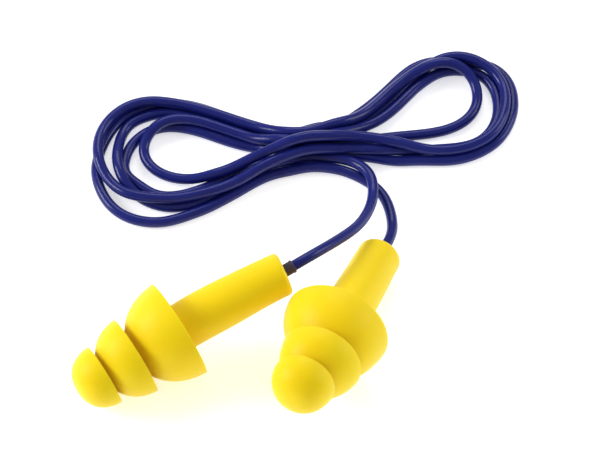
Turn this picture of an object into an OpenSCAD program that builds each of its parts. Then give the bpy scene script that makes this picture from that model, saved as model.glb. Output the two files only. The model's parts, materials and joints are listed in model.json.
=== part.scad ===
// A pair of triple-flange ear plugs joined by a cord that is wound into a loose hank.
// Both plugs lie on a flat surface at z = 0. The left one leans on its middle flange, the right one on its
// stem. Each plug turns freely about its own axis on the cord insert held in its stem.

/* [Plug] */
// Length of a plug from tip to stem end
plug_l = 28.2; // [26:0.1:30]
// Diameter of the large flange
large_d = 12.2; // [11.6:0.1:12.8]
// Distance from the tip to the rim of the large flange
large_s = 14.2; // [13.8:0.1:14.6]
// Diameter of the middle flange
middle_d = 9.8; // [9.3:0.1:10.1]
// Distance from the tip to the rim of the middle flange
middle_s = 8; // [7.8:0.1:8.2]
// Diameter of the tip flange
tip_d = 7.6; // [7.2:0.1:7.8]
// Length of the tip dome, from the tip to its rim
tip_s = 3.7; // [3.5:0.1:3.9]
// Thickness of a flange at its rim
lip_t = 0.4; // [0.4:0.05:0.7]
// Diameter of the stem where it leaves the large flange
stem_root_d = 5.6; // [5.4:0.1:5.9]
// Diameter of the stem at its end
stem_end_d = 5.3; // [5.1:0.1:5.4]

/* [Cord] */
// Diameter of the cord
cord_d = 1.3; // [1.2:0.1:1.4]
// Height of the hank where its strands cross
hank_h = 4; // [3.8:0.1:5]

/* [Cord insert] */
// Diameter of the insert's barrel
insert_d = 1.6; // [1.5:0.1:1.8]
// Length of barrel standing out of the stem
insert_out = 1.3; // [1:0.1:1.5]
// Length of barrel inside the stem
insert_in = 7; // [5:0.5:8]
// Diameter of the bead that keeps the insert in the stem
bead_d = 2.4; // [2.2:0.1:2.6]
// Length of the bead
bead_l = 1.5; // [1:0.1:2]
// Running clearance all round the insert
play = 0.05; // [0.02:0.01:0.1]

/* [Layout] */
// Direction of the left plug, from tip to stem, about Z
left_yaw = 28.7; // [28:0.1:30]
// Direction of the right plug, from tip to stem, about Z
right_yaw = 67.4; // [66:0.2:69]

/* [Hidden] */
$fn = 64;

// Centre of each plug's large rim, seen from above
left_rim = [-6.4, -1.1];
right_rim = [11.9, -0.3];

// Each flange is [diameter, rim's distance from the tip, length of its dome, bluntness of the dome,
// distance past the rim at which the dome would stop widening, wall at the crown of its hollow, radius of
// the core inside the hollow]
TIP = [tip_d, tip_s, tip_s, 2.3, 0.4, 1.5, 1.9];
MIDDLE = [middle_d, middle_s, 4.9, 2.15, 0.6, 1.3, 2.3];
LARGE = [large_d, large_s, 7, 2.1, 0.8, 1.4, stem_root_d / 2];
dome_steps = 12;
lip_steps = 4;
stem_edge = 0.6;

// Radius at which a dome of radius r at its rim would stop widening
function full_r(r, len, power, past) = r / pow(1 - pow(past / (len + past), power), 1 / power);

// Outline of a dome from radius r0 out to its rim: [radius, distance from tip]
function dome(r, len, rim_s, power, past, r0) =
    let (full = full_r(r, len, power, past),
         depth = len + past,
         start = asin(pow(r0 / full, power / 2)),
         end = acos(pow(past / depth, power / 2)))
    [for (i = [0:dome_steps])
        let (a = start + (end - start) * i / dome_steps)
        [full * pow(sin(a), 2 / power), rim_s + past - depth * pow(cos(a), 2 / power)]];

function flipped(list) = [for (i = [len(list) - 1:-1:0]) list[i]];

// Rounded rim of a flange, from its outer face to its inner face
function lip(f) =
    [for (i = [1:lip_steps - 1])
        let (a = 180 * i / lip_steps)
        [f[0] / 2 - lip_t / 2 + lip_t / 2 * cos(a), f[1] + lip_t / 2 * sin(a)]];

// One flange: its dome from radius r0, its lip, and its hollow down to the core
function flange(f, r0) =
    concat(dome(f[0] / 2, f[2], f[1], f[3], f[4], r0), lip(f),
           flipped(dome(f[0] / 2 - lip_t, f[2] - f[5], f[1], f[3], f[4], f[6])));

// Rounded edge at the stem's end
function stem_end() =
    [for (i = [0:lip_steps])
        let (a = 90 * i / lip_steps)
        [stem_end_d / 2 - stem_edge + stem_edge * cos(a), plug_l - stem_edge + stem_edge * sin(a)]];

// How far below its axis a flange reaches when the tip points down by t
function reach_tip_down(f, t) =
    let (q = f[3] / (f[3] - 1),
         full = full_r(f[0] / 2, f[2], f[3], f[4]))
    pow(pow(full * cos(t), q) + pow((f[2] + f[4]) * sin(t), q), 1 / q) - f[4] * sin(t);

// Tilt at which the large flange and the middle flange both touch the surface
function tilt_on_middle(t, n) =
    n == 0 ? t
    : tilt_on_middle(asin((reach_tip_down(LARGE, t) - reach_tip_down(MIDDLE, t))
                          / (large_s - middle_s)), n - 1);

// How far below its axis the large flange's lip reaches when the stem points down by t
function reach_stem_down(t) = (large_d / 2 - lip_t / 2) * cos(t) + lip_t / 2;

// Tilt at which the large flange's lip and the stem's rounded edge both touch the surface
function tilt_on_stem(t, n) =
    n == 0 ? t
    : tilt_on_stem(asin((reach_stem_down(t) - stem_edge - (stem_end_d / 2 - stem_edge) * cos(t))
                        / (plug_l - stem_edge - large_s)), n - 1);

left_tilt = tilt_on_middle(12, 8);
right_tilt = -tilt_on_stem(12, 8);
left_h = reach_tip_down(LARGE, left_tilt);
right_h = reach_stem_down(-right_tilt);

// Routes of the two leads: from inside the insert's barrel to inside the hank
left_route = [[5.7, 5.6, 8.9], [7.7, 6.6, 9.3], [9.8, 8.5, 8.7], [11.4, 10.3, 7.7], [12.9, 12.2, 6.6],
              [14.4, 14.5, 5.2], [15.4, 17, 3.9], [16, 19.3, 2.8], [16.2, 21.2, 2.1],
              [16.3, 22.4, 2]];
right_route = [[17.1, 12.4, 2.5], [18, 14.4, 1.9], [18.5, 16.2, 1.2], [18.6, 17.8, 0.8],
               [18.4, 19.1, 0.65], [18.1, 20.6, 0.65], [17.6, 21.9, 0.65], [17, 22.8, 0.65]];

// Outline of the hank: two round ends and the waist between them
left_end = [-8.4, 27];
right_end = [24.8, 34.8];
end_r = 9.4;
waist = [[-4, 18.7], [1, 21], [6.5, 23.6], [12, 23.4], [14.4, 21.8], [18.6, 21.8], [19.4, 25.8],
         [24, 25.6], [20, 43], [14, 38.6], [8, 33.6], [3, 33.2], [-4, 35.1]];

// Frame of a plug: its tip at the origin and its axis along +Z, put into its place
module placed(rim, yaw, tilt, h) {
    translate([rim[0], rim[1], h])
        rotate([0, 90 - tilt, yaw])
            translate([0, 0, -large_s])
                children();
}

module on_left() { placed(left_rim, left_yaw, left_tilt, left_h) children(); }

module on_right() { placed(right_rim, right_yaw, right_tilt, right_h) children(); }

// Bore in the stem: a neck for the barrel and a pocket for the bead
module insert_bore() {
    neck_s = plug_l - insert_in - play;
    translate([0, 0, neck_s])
        cylinder(d = insert_d + 2 * play, h = insert_in + 1);
    translate([0, 0, plug_l - insert_in - bead_l - play])
        cylinder(d = bead_d + 2 * play, h = bead_l + 2 * play);
}

// One moulding: three hollow flanges on a core, and the stem
module plug() {
    outline = concat(flange(TIP, 0), flange(MIDDLE, TIP[6]), flange(LARGE, MIDDLE[6]),
                     stem_end(), [[0, plug_l]]);
    difference() {
        rotate_extrude() polygon(outline);
        insert_bore();
    }
}

// Barrel with a bead at its inner end, turning in the stem
module cord_insert() {
    translate([0, 0, plug_l - insert_in - play])
        cylinder(d = insert_d, h = insert_in + play + insert_out);
    translate([0, 0, plug_l - insert_in - bead_l])
        cylinder(d = bead_d, h = bead_l);
}

// A tube of 8 sides along a list of points
sides = 8;
function unit(v) = v / norm(v);
function heading(p, i) = unit(p[min(i + 1, len(p) - 1)] - p[max(i - 1, 0)]);
function ring(p, i) =
    let (t = heading(p, i), u = unit(cross([0, 0, 1], t)), w = cross(t, u))
    [for (k = [0:sides - 1])
        p[i] + cord_d / 2 * (cos(360 * k / sides) * u + sin(360 * k / sides) * w)];

module tube(p) {
    last = len(p) - 1;
    points = [for (i = [0:last]) each ring(p, i)];
    skin = [for (i = [0:last - 1], k = [0:sides - 1])
        let (a = i * sides + k, b = i * sides + (k + 1) % sides)
        each [[a, a + sides, b], [b, a + sides, b + sides]]];
    near_cap = [for (k = [0:sides - 1]) k];
    far_cap = [for (k = [sides - 1:-1:0]) last * sides + k];
    polyhedron(points, concat(skin, [near_cap, far_cap]));
}

module left_plug() { color("gold") on_left() plug(); }

module right_plug() { color("gold") on_right() plug(); }

module left_cord_insert() { color("indigo") on_left() cord_insert(); }

module right_cord_insert() { color("indigo") on_right() cord_insert(); }

module left_cord_lead() { color("royalblue") tube(left_route); }

module right_cord_lead() { color("royalblue") tube(right_route); }

// Outer shape of the wound cord
module cord_hank() {
    color("midnightblue")
        linear_extrude(hank_h) {
            translate(left_end) circle(r = end_r);
            translate(right_end) circle(r = end_r);
            polygon(waist);
        }
}

left_plug();
right_plug();
left_cord_insert();
right_cord_insert();
left_cord_lead();
right_cord_lead();
cord_hank();
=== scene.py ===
"""A pair of triple-flange ear plugs on a wound cord: the looks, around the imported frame.

Sizes below are in millimetres, and MM turns them into metres. What is set straight on a camera, a material
or the floor is in Blender's own units.
"""

import json
import math

import bmesh
import bpy
import numpy as np
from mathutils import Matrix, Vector


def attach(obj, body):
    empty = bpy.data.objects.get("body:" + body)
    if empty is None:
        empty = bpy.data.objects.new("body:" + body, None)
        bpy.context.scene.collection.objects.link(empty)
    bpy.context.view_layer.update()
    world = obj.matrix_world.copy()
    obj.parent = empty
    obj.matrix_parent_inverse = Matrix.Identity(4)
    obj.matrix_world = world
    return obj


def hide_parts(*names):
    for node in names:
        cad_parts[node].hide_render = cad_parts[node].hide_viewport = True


MM = 0.001
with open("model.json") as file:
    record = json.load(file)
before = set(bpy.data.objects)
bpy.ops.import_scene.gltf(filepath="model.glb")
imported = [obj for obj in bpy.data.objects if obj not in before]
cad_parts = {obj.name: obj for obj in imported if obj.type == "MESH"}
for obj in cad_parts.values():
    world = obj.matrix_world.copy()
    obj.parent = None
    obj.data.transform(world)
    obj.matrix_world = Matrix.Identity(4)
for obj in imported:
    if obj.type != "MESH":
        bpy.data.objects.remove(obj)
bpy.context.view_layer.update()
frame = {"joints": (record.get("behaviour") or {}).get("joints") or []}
scene = bpy.context.scene

# ---------------------------------------------------------------- sizes

# Plug, measured along its axis from the tip. Its joint's point lies at JOINT_S.
PLUG_L = 28.2
JOINT_S = 14.2
LIP_T = 0.4
LIP_EDGE = 0.08
STEM_ROOT_R = 2.8
STEM_END_R = 2.65
STEM_EDGE = 0.6
STEM_BELLY = 0.18

# Each flange: radius, rim's distance from the tip, length of its dome, bluntness, how far past the rim
# the dome would close, wall at the crown of its hollow, radius of the core inside the hollow
TIP = (3.8, 3.7, 3.7, 2.3, 0.4, 1.5, 1.9)
MIDDLE = (4.9, 8.0, 4.6, 2.2, 0.6, 1.2, 2.3)
LARGE = (6.1, 14.05, 6.4, 2.22, 0.8, 1.3, STEM_ROOT_R)

# How each soft plug is bent sideways off its straight axis: how far its middle line lies beside the axis at
# JOINT_S, the slope of its head, and the slope the other way at its stem's end. Its bore stays straight.
LEAN = {"left": (0.45, 0.032, 0.13), "right": (0.0, 0.0, 0.0)}

# How far the stem's belly lies to one side of that bent line
SAG = {"left": 0.12, "right": 0.08}

# How far the middle flange has been pushed aside, and how far along the plug that reaches either way
NUDGE = {"left": 0.0, "right": -0.45}
NUDGE_REACH = 5.0

# How much wider than round its large flange has settled, and how far that reaches towards the tip and
# towards the stem's end
SPREAD = {"left": 0.0, "right": 0.055}
SPREAD_REACH = (7.0, 2.0)

# Cord insert and the bore that it turns in. The barrel's end is a raised collar with a hole for the cord.
BARREL_R = 0.8
BARREL_OUT = 1.3
BARREL_IN = 7.0
BEAD_R = 1.2
BEAD_L = 1.5
COLLAR_L = 0.32
COLLAR_RISE = 0.03
COLLAR_SLOPE = 0.06
COLLAR_HOLE = 0.7
INSERT_EDGE = 0.12
CORD_GAP = 0.01
PLAY = 0.05
MOUTH = 0.15

CORD_D = 1.3
CORD_R = CORD_D / 2

# How far past the stem's end the cord starts, at the bottom of the collar's hole
CORD_START = 0.6

# ---------------------------------------------------------------- camera

# It looks along +Y and down, at this point on the floor
AIM = (7.5, 17.0, 0.0)
CAMERA_ELEVATION = math.radians(55.6)
CAMERA_DISTANCE = 720.7
CAMERA_LENS = 360.0


def make_camera():
    data = bpy.data.cameras.new("camera")
    data.lens = CAMERA_LENS
    data.sensor_width = 36.0
    data.clip_start = 0.01
    data.clip_end = 20.0
    camera = bpy.data.objects.new("camera", data)
    scene.collection.objects.link(camera)
    back = Vector((0, -math.cos(CAMERA_ELEVATION), math.sin(CAMERA_ELEVATION)))
    camera.location = (Vector(AIM) + back * CAMERA_DISTANCE) * MM
    camera.rotation_euler = (math.pi / 2 - CAMERA_ELEVATION, 0, 0)
    scene.camera = camera


make_camera()

# ---------------------------------------------------------------- cord

# The two leads, from the right plug to the hank and from the hank to the left plug: points (x, y, z)
RIGHT_LEAD = [(18, 14.4, 1.9), (18.5, 16.2, 1.2), (18.6, 17.8, 0.8), (18.4, 19.1, 0.65),
    (18.1, 20.6, 0.65), (17.6, 21.9, 0.65), (17, 22.8, 0.65)]
LEFT_LEAD = [(16.3, 22.4, 2), (16.2, 21.2, 2.1), (16, 19.3, 2.8), (15.4, 17, 3.9), (14.4, 14.5, 5.2),
    (12.9, 12.2, 6.6), (11.4, 10.3, 7.7), (9.8, 8.5, 8.7), (7.7, 6.6, 9.3)]

# The hank between them, strand by strand. A point is (x, y, layer): the place on the floor that the camera
# sees the strand over, and how many diameters it lies above the floor. A hidden strand runs under others,
# so it only keeps its place loosely as the hank settles.
SEEN = 1.0
HIDDEN = 0.02
HANK = [
    ("F3", SEEN, [(16.2, 23.7, 0), (15.2, 24.4, 0), (13.5, 25.3, 0), (12, 26, 0), (10.5, 26.3, 0),
        (9, 26.3, 0), (7.5, 26.1, 0), (6, 25.8, 0), (4.5, 25.4, 0), (2.5, 24.5, 0),
        (1, 23.5, 0), (-0.5, 22.3, 0)]),
    ("O2", SEEN, [(-2.5, 21.1, 0), (-4.5, 19.9, 0), (-7, 18.7, 0), (-8.5, 18.2, 0), (-10.1, 18.1, 0),
        (-12, 18.4, 0), (-13.5, 19, 0), (-15, 20.2, 0), (-16, 21.7, 0), (-16.7, 23.5, 0), (-17, 25, 0),
        (-17, 27, 0), (-16.7, 28.5, 0), (-16.2, 30, 0), (-15.4, 31.7, 0), (-14.3, 33.2, 0),
        (-13, 34.2, 0), (-11.1, 34.8, 0)]),
    ("to_C", HIDDEN, [(-8.5, 35.2, 0), (-5.5, 34.6, 0), (-2.5, 33.6, 0), (0.5, 32.4, 0),
        (3.5, 31.1, 0), (6.5, 29.9, 0), (9.5, 28.9, 0), (12.5, 28.2, 0)]),
    ("C", SEEN, [(15.5, 27.8, 0), (17.5, 27.6, 0), (19.5, 27.4, 0), (21.5, 27.3, 0), (23.5, 27.2, 0),
        (25.5, 27.3, 0), (27.5, 27.7, 0), (29.5, 28.7, 0), (31.5, 30.2, 0), (32.9, 32.8, 0),
        (33.5, 35.5, 0), (33.2, 37.5, 0), (32.6, 39.2, 0), (31.7, 40.5, 0), (30.4, 41.3, 0),
        (28.6, 41.6, 0)]),
    ("C_back", HIDDEN, [(26.5, 41.6, 0), (24.5, 41.3, 0), (22.5, 40.6, 0), (21, 39.8, 0),
        (19.5, 38.6, 0), (18, 37.1, 0), (16.5, 35.5, 0), (15, 34, 0)]),
    ("H", HIDDEN, [(12.5, 31.9, 0.5), (9.5, 30.4, 1), (6.5, 28.9, 1), (3.5, 27.5, 0.8), (0.5, 26, 0.5),
        (-2.5, 24.3, 0.3), (-5.5, 22.6, 0.1)]),
    ("O4", HIDDEN, [(-7.5, 22, 0)]),
    ("O4", SEEN, [(-9.5, 21.9, 0), (-11.5, 22.7, 0), (-12.9, 23.8, 0), (-13.8, 25.2, 0),
        (-14, 26.5, 0), (-13.4, 28.2, 0), (-12.8, 29.7, 0), (-11.8, 30.6, 0), (-10.8, 31.3, 0),
        (-9.8, 31.9, 0), (-8.5, 32.2, 0), (-6.5, 32, 0), (-4.5, 31.5, 0), (-2.5, 30.6, 0),
        (-0.5, 29.8, 0)]),
    ("B3", SEEN, [(1.5, 29.3, 0.5)]),
    ("B3", HIDDEN, [(3.5, 29.2, 1), (6.5, 29.4, 1.6), (9.5, 30, 1.6), (12.5, 30.5, 1.4), (15.5, 30.7, 1)]),
    ("A", SEEN, [(18.5, 30.7, 1), (20.5, 30.9, 0.7), (22.5, 31.1, 0.4), (24.5, 31.5, 0.2),
        (26.3, 32.2, 0), (27.8, 33.3, 0), (28.7, 34.6, 0), (29.1, 36, 0.3), (29.1, 37.4, 0.7),
        (28.8, 38.7, 1.2), (28.4, 39.8, 1.7), (27.5, 40.9, 2), (26.2, 41.7, 2), (24.8, 41.9, 2),
        (23.3, 41.5, 2), (22, 40.7, 1.7), (20.7, 39.6, 1.4), (19.5, 38.4, 1.2), (18.3, 37.1, 1)]),
    ("T1", SEEN, [(17, 35.6, 1), (15.5, 34.3, 1), (13.5, 33.2, 1.2), (11.5, 32.2, 1.6), (9.5, 31.5, 2),
        (7.5, 31.2, 2), (5.5, 31.4, 2), (4.5, 31.6, 1.8)]),
    ("O1", SEEN, [(2.5, 32.2, 1.4), (0.5, 32.9, 1.2), (-1.5, 33.7, 1), (-3.5, 34.5, 1),
        (-5.5, 35.2, 1), (-7.5, 35.6, 1), (-9.9, 36, 1), (-11.5, 35.9, 1), (-13.3, 35.2, 1),
        (-15.1, 33.7, 1), (-16.6, 31.2, 1), (-16.9, 29, 1), (-16.8, 27, 1), (-16.2, 25.4, 1),
        (-15.1, 23.9, 1), (-13.7, 22.8, 1.3), (-12, 22.1, 1.5), (-10, 21.7, 1.5), (-8, 21.6, 1.5),
        (-5.5, 22, 1.5), (-3.5, 22.6, 1.5), (-1.5, 23.5, 1.6), (0.5, 24.5, 1.8), (2.5, 26.2, 2)]),
    ("F2a", SEEN, [(4.5, 27.3, 2), (6.5, 28.2, 2), (8, 28.9, 2), (9.5, 29.1, 2), (11.5, 29.1, 2),
        (13.5, 29.1, 1.6), (15.5, 28.9, 1.2), (17.5, 28.6, 1), (19.5, 28.4, 0.6)]),
    ("B1", HIDDEN, [(22, 28.7, 0.1), (24, 28.6, 0), (26, 28.8, 0)]),
    ("B1", SEEN, [(28, 29.3, 0), (29.7, 30.3, 0), (30.9, 31.8, 0), (31.6, 33.7, 0), (31.7, 35.5, 0),
        (31.6, 36.8, 0.1), (31.2, 38, 0.4), (30.4, 39.3, 0.7), (29.2, 40.2, 1), (27.5, 40.6, 1),
        (26, 40.7, 1), (24.5, 40.4, 1), (23, 39.6, 1), (21.5, 38.1, 1), (19.5, 35.8, 1), (17.5, 33.7, 1)]),
    ("T2", SEEN, [(15.5, 32.4, 1.2), (13.5, 31.7, 1.5), (11.5, 31.1, 2), (9.5, 30.6, 2.1)]),
    ("T2", HIDDEN, [(7.5, 30.3, 2.2), (5.5, 30.2, 2.2)]),
    ("T2", SEEN, [(4, 30.1, 2)]),
    ("O5", SEEN, [(2.5, 30.3, 1.7), (0.5, 31, 1.3), (-1.5, 31.8, 1), (-3.5, 32.6, 1), (-5.5, 33.1, 1),
        (-7.5, 33.3, 1), (-8.8, 33.1, 1), (-9.8, 32.5, 1), (-10.5, 31.6, 1), (-11.1, 30.5, 1),
        (-11.4, 29.2, 1), (-11.4, 28, 1), (-11, 27.1, 1), (-10.3, 26.2, 1), (-9.3, 25.4, 1),
        (-8, 24.8, 1), (-6.5, 24.6, 1), (-5, 24.5, 1), (-3.5, 24.9, 1.2), (-2.5, 25.2, 1.4),
        (-1, 26, 1.7), (0.5, 26.9, 2.1), (2.5, 28.1, 2.6)]),
    ("F1", SEEN, [(4.5, 29.1, 3), (6, 30, 3.1), (7.5, 30.6, 3.1), (9.5, 30.9, 3.1), (11.5, 30.9, 3),
        (13.5, 30.9, 2.8), (15.5, 30.8, 2.5), (17, 30.4, 2.2), (18.5, 30, 2), (20.5, 29.5, 1.6),
        (22.5, 29, 1.3)]),
    ("B2", SEEN, [(24, 28.7, 1.1), (26, 28.8, 1), (28, 29.3, 1), (29.7, 30.1, 1), (31.1, 31.6, 1),
        (31.9, 33.5, 1), (32.3, 35.5, 1), (32.4, 37.5, 1), (31.9, 39.2, 1), (31.1, 40.5, 1),
        (30.1, 41.5, 1), (28.9, 42.2, 1), (27.5, 42.7, 1), (26.5, 42.8, 1), (25.1, 42.5, 1)]),
    ("B2_back", HIDDEN, [(23, 41.6, 0.7), (21, 39.3, 0.4), (19.5, 37.3, 0.1), (17.5, 35.2, 0),
        (15.5, 33.5, 0.3), (13.5, 32.5, 0.8), (10.5, 31.6, 1.2), (7.5, 31.2, 1.2), (4.5, 31.1, 1),
        (1.5, 31.4, 0.6), (-1.5, 32, 0.3), (-4.5, 32.9, 0), (-6.5, 33.8, 0)]),
    ("O3", SEEN, [(-8, 34.5, 0), (-9.7, 34.5, 0), (-11.3, 34.1, 0.2), (-12.7, 33.2, 0.5),
        (-13.7, 31.9, 0.7), (-14.3, 30, 1), (-14.4, 28, 1), (-14.4, 26.5, 1), (-14, 25.2, 1),
        (-13.3, 24, 1), (-12.3, 22.9, 0.6), (-10.8, 21.1, 0.2), (-9.5, 20.6, 0), (-8, 20.3, 0),
        (-6, 20.6, 0), (-4, 21.4, 0)]),
    ("X", HIDDEN, [(-2, 22.6, 0.3), (0, 23.9, 0.7), (2, 25.3, 1), (4, 26.4, 1), (5.5, 27, 1)]),
    ("X", SEEN, [(7.5, 27.7, 1), (9.5, 28, 1), (11, 27.9, 1), (12.5, 27.6, 1), (13.8, 27.1, 1),
        (14.9, 26.3, 1), (15.7, 25.3, 1), (16.2, 24.4, 1)]),
]

# How far the camera sees a strand shifted along +Y for each millimetre that it is raised
SIGHT_SLOPE = 1 / math.tan(CAMERA_ELEVATION)

# How the cord settles. It is a row of bits, STEP apart. In each round a bit falls by FALL, takes the part
# STIFF of the move that its stiffness asks for and the part PULL of the way back to its place, and contacts
# then push it away CONTACT_PASSES times, each push lengthened by OVERSHOOT. Every PAIR_ROUNDS rounds, bits
# at least PAIR_SKIP apart along the cord and nearer than PAIR_REACH diameters are noted as likely to touch.
STEP = 0.65
ROUNDS = 700
FALL = 0.0015
STIFF = 0.45
PULL = 0.01
CONTACT_PASSES = 2
OVERSHOOT = 1.4
PAIR_ROUNDS = 8
PAIR_REACH = 1.75
PAIR_SKIP = 5


def joint(side):
    return next(j for j in frame["joints"] if j["name"] == side + "_plug_swivel")


def plug_axis(side):
    """The plug's axis from tip to stem."""
    return Vector(joint(side)["axis"]).normalized()


def on_axis(side, s):
    """The point on a plug's axis at a distance s from its tip, in millimetres."""
    return Vector(joint(side)["pos_m"]) / MM + plug_axis(side) * (s - JOINT_S)


def spline(points, per_span):
    """Centripetal Catmull-Rom curve through the points: positions, and the number of the span of each."""
    p = np.vstack([2 * points[0] - points[1], points, 2 * points[-1] - points[-2]])
    out = []
    where = []
    for i in range(len(points) - 1):
        a, b, c, e = p[i:i + 4]
        t1 = np.linalg.norm((b - a)[:3]) ** 0.5
        t2 = t1 + np.linalg.norm((c - b)[:3]) ** 0.5
        t3 = t2 + np.linalg.norm((e - c)[:3]) ** 0.5
        for k in range(per_span):
            f = k / per_span
            t = t1 + (t2 - t1) * f
            ab = a + (b - a) * t / t1
            bc = b + (c - b) * f
            ce = c + (e - c) * (t - t2) / (t3 - t2)
            abc = ab + (bc - ab) * t / t2
            bce = bc + (ce - bc) * (t - t1) / (t3 - t1)
            out.append(abc + (bce - abc) * f)
            where.append(i + f)
    out.append(points[-1])
    where.append(len(points) - 1)
    return np.array(out), np.array(where)


def evenly(points, step):
    """The polyline's points, spaced step apart, with any further columns carried along."""
    run = np.concatenate([[0], np.cumsum(np.linalg.norm(np.diff(points[:, :3], axis=0), axis=1))])
    stops = np.linspace(0, run[-1], int(round(run[-1] / step)) + 1)
    return np.stack([np.interp(stops, run, column) for column in points.T], axis=1)


def laid_route():
    """Where each bit of cord starts out, how firmly it keeps its place in view, and 1 on the leads."""
    rows = [(*on_axis("right", PLUG_L + out), SEEN, 1) for out in (CORD_START, BARREL_OUT)]
    rows += [(*point, SEEN, 1) for point in RIGHT_LEAD]
    for _, hold, points in HANK:
        for x, y, layer in points:
            z = CORD_R + layer * CORD_D
            rows.append((x, y - SIGHT_SLOPE * (z - CORD_R), z, hold, 0))
    rows += [(*point, SEEN, 1) for point in LEFT_LEAD]
    rows += [(*on_axis("left", PLUG_L + out), SEEN, 1) for out in (BARREL_OUT, CORD_START)]
    rows = np.array(rows)
    line, where = spline(rows[:, :3], per_span=16)
    marks = [np.interp(where, np.arange(len(rows)), column) for column in rows[:, 3:].T]
    laid = evenly(np.column_stack([line, *marks]), STEP)
    return laid[:, :3], laid[:, 3], laid[:, 4]


def close_pairs(p):
    """Every bit of cord, with each segment of another stretch that it might touch."""
    gaps = ((p[:, None] - p[None]) ** 2).sum(axis=2)
    a, b = np.nonzero(np.triu(gaps < (PAIR_REACH * CORD_D) ** 2, PAIR_SKIP))
    bit = np.concatenate([a, b])
    segment = np.concatenate([b, a])
    inside = segment < len(p) - 1
    return bit[inside], segment[inside]


def push_apart(p, bit, segment):
    """How far contacts move each bit, so that no two stretches are closer than a diameter."""
    start = p[segment]
    along = p[segment + 1] - start
    t = np.clip(((p[bit] - start) * along).sum(axis=1) / (along * along).sum(axis=1), 0, 1)
    away = p[bit] - start - along * t[:, None]
    gap = np.linalg.norm(away, axis=1) + 1e-9
    touch = gap < CORD_D
    bit, segment, t, gap = bit[touch], segment[touch], t[touch], gap[touch]
    share = (CORD_D - gap) / gap / (1 + t ** 2 + (1 - t) ** 2)
    push = away[touch] * share[:, None]
    move = np.zeros_like(p)
    count = np.zeros(len(p))
    for at, weight in ((bit, np.ones_like(t)), (segment, t - 1), (segment + 1, -t)):
        np.add.at(move, at, push * weight[:, None])
        np.add.at(count, at, np.abs(weight))
    return OVERSHOOT * move / np.maximum(1, count)[:, None]


def stiffness(p):
    """How the cord's own stiffness moves each bit: towards an even bend."""
    wide = np.vstack([2 * p[0] - p[1], p, 2 * p[-1] - p[-2]])
    bend = (wide[:-2] + wide[2:]) / 2 - p
    wide = np.vstack([bend[:1], bend, bend[-1:]])
    return bend - (wide[:-2] + wide[2:]) / 2


def settle(laid, hold, lead):
    """Lets the cord come to rest on the floor and on itself."""
    seen_y = laid[:, 1] + SIGHT_SLOPE * (laid[:, 2] - CORD_R)
    p = laid.copy()
    for turn in range(ROUNDS):
        if turn % PAIR_ROUNDS == 0:
            pairs = close_pairs(p)
        p[:, 2] -= FALL * (1 - lead)
        p += STIFF * stiffness(p)
        now_y = p[:, 1] + SIGHT_SLOPE * (p[:, 2] - CORD_R)
        p[:, 0] += PULL * hold * (laid[:, 0] - p[:, 0])
        p[:, 1] += PULL * hold * (seen_y - now_y)
        p[:, 2] += PULL * lead * (laid[:, 2] - p[:, 2])
        for _ in range(CONTACT_PASSES):
            p += push_apart(p, *pairs)
            p[:, 2] = np.maximum(p[:, 2], CORD_R)
        p[:2] = laid[:2]
        p[-2:] = laid[-2:]
    return p


def make_cord(material):
    line, _ = spline(settle(*laid_route()), per_span=2)
    data = bpy.data.curves.new("cord", "CURVE")
    data.dimensions = "3D"
    data.bevel_depth = CORD_R * MM
    data.bevel_resolution = 6
    data.use_fill_caps = True
    strand = data.splines.new("POLY")
    strand.points.add(len(line) - 1)
    for point, at in zip(strand.points, line):
        point.co = (*(at * MM), 1)
    strand.use_smooth = True
    cord = bpy.data.objects.new("cord", data)
    scene.collection.objects.link(cord)
    data.materials.append(material)
    return cord


# ---------------------------------------------------------------- materials


def node_material(name):
    material = bpy.data.materials.new(name)
    material.use_nodes = True
    tree = material.node_tree
    return material, tree, tree.nodes["Principled BSDF"]


def texture(tree, kind, scale, **settings):
    coords = tree.nodes.new("ShaderNodeTexCoord")
    node = tree.nodes.new(kind)
    node.inputs["Scale"].default_value = scale
    for key, value in settings.items():
        node.inputs[key].default_value = value
    tree.links.new(coords.outputs["Object"], node.inputs["Vector"])
    return node


def tint(tree, shader, factor, stops):
    ramp = tree.nodes.new("ShaderNodeValToRGB")
    ramp.color_ramp.elements[0].position = stops[0][0]
    ramp.color_ramp.elements[0].color = (*stops[0][1], 1)
    ramp.color_ramp.elements[1].position = stops[1][0]
    ramp.color_ramp.elements[1].color = (*stops[1][1], 1)
    tree.links.new(factor, ramp.inputs["Fac"])
    tree.links.new(ramp.outputs["Color"], shader.inputs["Base Color"])


def grain(tree, shader, height, distance, strength):
    bump = tree.nodes.new("ShaderNodeBump")
    bump.inputs["Distance"].default_value = distance
    bump.inputs["Strength"].default_value = strength
    tree.links.new(height, bump.inputs["Height"])
    tree.links.new(bump.outputs["Normal"], shader.inputs["Normal"])


def roughness(tree, shader, factor, low, high):
    spread = tree.nodes.new("ShaderNodeMapRange")
    spread.inputs["To Min"].default_value = low
    spread.inputs["To Max"].default_value = high
    tree.links.new(factor, spread.inputs["Value"])
    tree.links.new(spread.outputs["Result"], shader.inputs["Roughness"])


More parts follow.
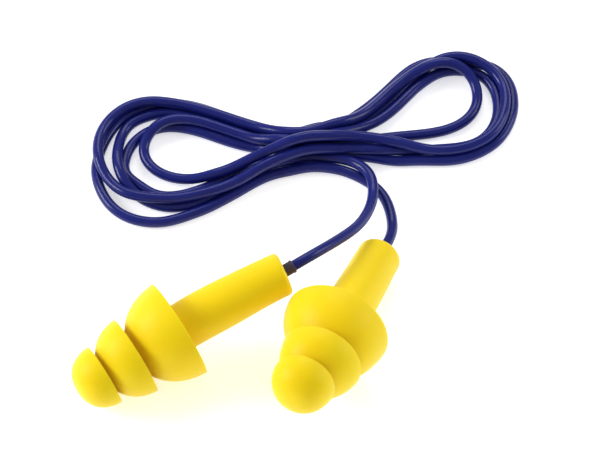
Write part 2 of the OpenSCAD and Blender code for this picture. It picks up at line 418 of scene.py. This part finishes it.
def plug_elastomer():
    """Soft moulded elastomer: satin, slightly translucent, with a fine matt grain and faint mottling."""
    material, tree, shader = node_material("plug_elastomer")
    cloud = texture(tree, "ShaderNodeTexNoise", 120.0, Detail=3.0)
    tint(tree, shader, cloud.outputs["Fac"], ((0.3, (0.9, 0.65, 0.001)), (0.7, (0.93, 0.69, 0.002))))
    fine = texture(tree, "ShaderNodeTexNoise", 4200.0, Detail=2.0)
    grain(tree, shader, fine.outputs["Fac"], 0.00002, 0.25)
    roughness(tree, shader, cloud.outputs["Fac"], 0.42, 0.5)
    shader.inputs["Subsurface Weight"].default_value = 0.3
    shader.inputs["Subsurface Radius"].default_value = (1.0, 0.7, 0.05)
    shader.inputs["Subsurface Scale"].default_value = 0.0012
    shader.inputs["Specular IOR Level"].default_value = 0.15
    shader.inputs["Sheen Weight"].default_value = 0.25
    shader.inputs["Sheen Roughness"].default_value = 0.5
    shader.inputs["Sheen Tint"].default_value = (1.0, 0.95, 0.5, 1.0)
    return material


def cord_vinyl():
    """Glossy extruded vinyl, with the faint lengthwise unevenness of the extrusion."""
    material, tree, shader = node_material("cord_vinyl")
    cloud = texture(tree, "ShaderNodeTexNoise", 260.0, Detail=3.0)
    tint(tree, shader, cloud.outputs["Fac"], ((0.3, (0.007, 0.011, 0.14)), (0.7, (0.01, 0.016, 0.17))))
    fine = texture(tree, "ShaderNodeTexNoise", 1500.0, Detail=3.0)
    grain(tree, shader, fine.outputs["Fac"], 0.00003, 0.12)
    roughness(tree, shader, cloud.outputs["Fac"], 0.24, 0.34)
    shader.inputs["Specular IOR Level"].default_value = 0.12
    shader.inputs["Coat Weight"].default_value = 0.25
    shader.inputs["Coat Roughness"].default_value = 0.1
    return material


def insert_vinyl():
    """Darker, duller vinyl of the moulded cord insert."""
    material, tree, shader = node_material("insert_vinyl")
    cloud = texture(tree, "ShaderNodeTexNoise", 700.0, Detail=4.0)
    tint(tree, shader, cloud.outputs["Fac"], ((0.3, (0.03, 0.02, 0.06)), (0.7, (0.045, 0.032, 0.085))))
    grain(tree, shader, cloud.outputs["Fac"], 0.00004, 0.3)
    roughness(tree, shader, cloud.outputs["Fac"], 0.38, 0.5)
    return material


# ---------------------------------------------------------------- plugs


def dome(r, length, rim_s, power, past, r0, steps=36):
    """Outline of a flange from radius r0 out to its rim, as (radius, distance from the tip)."""
    close = rim_s + past
    depth = length + past
    full = r / (1 - (past / depth) ** power) ** (1 / power)
    low = math.asin((r0 / full) ** (power / 2))
    high = math.acos((past / depth) ** (power / 2))
    angles = [low + (high - low) * i / steps for i in range(steps + 1)]
    return [(full * math.sin(a) ** (2 / power), close - depth * math.cos(a) ** (2 / power)) for a in angles]


def arc(centre, radius, start, end, steps=6):
    """Points of a round edge; angles are in degrees from the radial direction towards the stem."""
    angles = [math.radians(start + (end - start) * i / steps) for i in range(steps + 1)]
    return [(centre[0] + radius * math.cos(a), centre[1] + radius * math.sin(a)) for a in angles]


def flange(f, r0):
    r, rim_s, length, power, past, wall, core = f
    outer = dome(r, length, rim_s, power, past, r0)
    lip = arc((r - LIP_EDGE, rim_s), LIP_EDGE, 0, 90)[1:]
    lip += arc((r - LIP_T + LIP_EDGE, rim_s), LIP_EDGE, 90, 180)[:-1]
    inner = dome(r - LIP_T, length - wall, rim_s, power, past, core)
    return outer + lip + inner[::-1]


def stem(crown_s, steps=24):
    """The stem's side, from the crown of the large flange's hollow to its end: a slight taper and belly."""
    last_s = PLUG_L - STEM_EDGE
    places = [crown_s + (last_s - crown_s) * i / steps for i in range(1, steps)]
    outline = []
    for s in places:
        u = (s - crown_s) / (last_s - crown_s)
        belly = STEM_BELLY * math.sin(math.pi * u) ** 2
        outline.append((STEM_ROOT_R + (STEM_END_R - STEM_ROOT_R) * u + belly, s))
    return outline


def plug_skin():
    """Outline of a plug's outside, from its tip to the rounded edge of its stem's end."""
    skin = flange(TIP, 0) + flange(MIDDLE, TIP[6]) + flange(LARGE, MIDDLE[6])
    skin += stem(skin[-1][1])
    return skin + arc((STEM_END_R - STEM_EDGE, PLUG_L - STEM_EDGE), STEM_EDGE, 0, 90)


def plug_bore():
    """Outline of the bore, from its rounded mouth to its blind end: a neck, and a pocket for the bead."""
    mouth = arc((BARREL_R + PLAY + MOUTH, PLUG_L - MOUTH), MOUTH, 90, 180)
    neck_s = PLUG_L - BARREL_IN + PLAY
    pocket_s = PLUG_L - BARREL_IN - BEAD_L - PLAY
    pocket_r = BEAD_R + PLAY
    return mouth + [(BARREL_R + PLAY, neck_s), (pocket_r, neck_s), (pocket_r, pocket_s), (0, pocket_s)]


def insert_outline():
    """Bead, barrel, and the collar round the hole that the cord comes out of."""
    neck_s = PLUG_L - BARREL_IN
    pocket_s = neck_s - BEAD_L
    end_s = PLUG_L + BARREL_OUT
    bead_edge_r = BEAD_R - INSERT_EDGE
    barrel_r = BARREL_R - COLLAR_RISE
    hole_r = CORD_R + CORD_GAP
    outline = [(0, pocket_s)] + arc((bead_edge_r, pocket_s + INSERT_EDGE), INSERT_EDGE, -90, 0)
    outline += arc((bead_edge_r, neck_s - INSERT_EDGE), INSERT_EDGE, 0, 90)
    outline += [(barrel_r, neck_s), (barrel_r, end_s - COLLAR_L - COLLAR_SLOPE)]
    outline += [(BARREL_R, end_s - COLLAR_L)]
    outline += arc((BARREL_R + COLLAR_RISE - INSERT_EDGE, end_s - INSERT_EDGE), INSERT_EDGE, 0, 90)
    return outline + [(hole_r, end_s), (hole_r, end_s - COLLAR_HOLE), (0, end_s - COLLAR_HOLE)]


def bend(side, s):
    """How far a plug's middle line lies beside its straight axis at s, and its slope there."""
    aside, head, end = LEAN[side]
    run = PLUG_L - JOINT_S
    u = max(0.0, (s - JOINT_S) / run)
    v = min(1.0, abs(s - MIDDLE[1]) / NUDGE_REACH)
    aside += head * (s - JOINT_S) - (head + end) * run * u * u / 2 + NUDGE[side] * (1 - v * v) ** 2
    return aside - SAG[side] * math.sin(math.pi * u) ** 2, head - (head + end) * u


def widening(side, s):
    """How much wider than round a plug is at s: all of its spread at JOINT_S, none far from it."""
    reach = SPREAD_REACH[0] if s < JOINT_S else SPREAD_REACH[1]
    return 1 + SPREAD[side] * max(0.0, 1 - ((s - JOINT_S) / reach) ** 2)


def lathe(name, side, material, turns, straight, bent=()):
    """Turns outlines round a plug's axis: the bent one first, then the straight one."""
    axis = plug_axis(side)
    start = on_axis(side, 0)
    across = Vector((0, 0, 1)).cross(axis).normalized()
    up = axis.cross(across)
    angles = [2 * math.pi * k / turns for k in range(turns)]
    mesh = bmesh.new()
    rings = []
    for number, (r, s) in enumerate([*bent, *straight]):
        offset, slope, wide = 0, 0, 1
        if number < len(bent):
            offset, slope = bend(side, s)
            wide = widening(side, s)
        centre = start + axis * s + across * offset
        if r < 1e-6:
            rings.append([mesh.verts.new(centre * MM)])
            continue
        out = (across - axis * slope).normalized() * wide
        spokes = [out * math.cos(a) + up * math.sin(a) for a in angles]
        rings.append([mesh.verts.new((centre + spoke * r) * MM) for spoke in spokes])
    for a, b in zip(rings, rings[1:]):
        for k in range(turns):
            corners = [a[k % len(a)], a[(k + 1) % len(a)], b[(k + 1) % len(b)], b[k % len(b)]]
            mesh.faces.new(list(dict.fromkeys(corners)))
    bmesh.ops.recalc_face_normals(mesh, faces=mesh.faces)
    data = bpy.data.meshes.new(name)
    mesh.to_mesh(data)
    mesh.free()
    data.shade_smooth()
    data.materials.append(material)
    piece = bpy.data.objects.new(name, data)
    scene.collection.objects.link(piece)
    return piece


elastomer = plug_elastomer()
vinyl = cord_vinyl()
insert_plastic = insert_vinyl()

cord = make_cord(vinyl)
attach(cord, "cord")
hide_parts("cord_hank", "left_cord_lead", "right_cord_lead")

for side in ("left", "right"):
    plug = lathe(side + "_ear_plug_moulding", side, elastomer, 144, plug_bore(), plug_skin())
    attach(plug, side + "_ear_plug")
    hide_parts(side + "_plug")
    insert = lathe(side + "_insert_collar", side, insert_plastic, 64, insert_outline())
    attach(insert, "cord")
    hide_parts(side + "_cord_insert")

# ---------------------------------------------------------------- floor and light


def make_floor():
    half = 0.9
    data = bpy.data.meshes.new("floor")
    data.from_pydata([(-half, -half, 0), (half, -half, 0), (half, half, 0), (-half, half, 0)], [],
                     [(0, 1, 2, 3)])
    floor = bpy.data.objects.new("floor", data)
    scene.collection.objects.link(floor)
    material, _, shader = node_material("floor_white")
    shader.inputs["Base Color"].default_value = (0.9, 0.9, 0.9, 1)
    shader.inputs["Roughness"].default_value = 0.9
    shader.inputs["Specular IOR Level"].default_value = 0.1
    shader.inputs["Emission Color"].default_value = (1, 1, 1, 1)
    shader.inputs["Emission Strength"].default_value = 0.55
    data.materials.append(material)


def area_light(name, at, size, power, colour=(1, 1, 1)):
    """A soft box at a point in millimetres, facing the object."""
    data = bpy.data.lights.new(name, "AREA")
    data.shape = "RECTANGLE"
    data.size = size[0] * MM
    data.size_y = size[1] * MM
    data.energy = power
    data.color = colour
    light = bpy.data.objects.new(name, data)
    scene.collection.objects.link(light)
    light.location = Vector(at) * MM
    light.rotation_euler = (Vector(AIM) - Vector(at)).to_track_quat("-Z", "Y").to_euler()


make_floor()
area_light("key", (-620, 60, 330), (360, 300), 3.7)
area_light("fill", (560, 120, 280), (300, 300), 1.2)
area_light("back", (40, 520, 520), (480, 300), 1.6)

world = bpy.data.worlds.new("studio")
world.use_nodes = True
world.node_tree.nodes["Background"].inputs["Color"].default_value = (1, 1, 1, 1)
world.node_tree.nodes["Background"].inputs["Strength"].default_value = 0.44
scene.world = world
scene.view_settings.view_transform = "Standard"
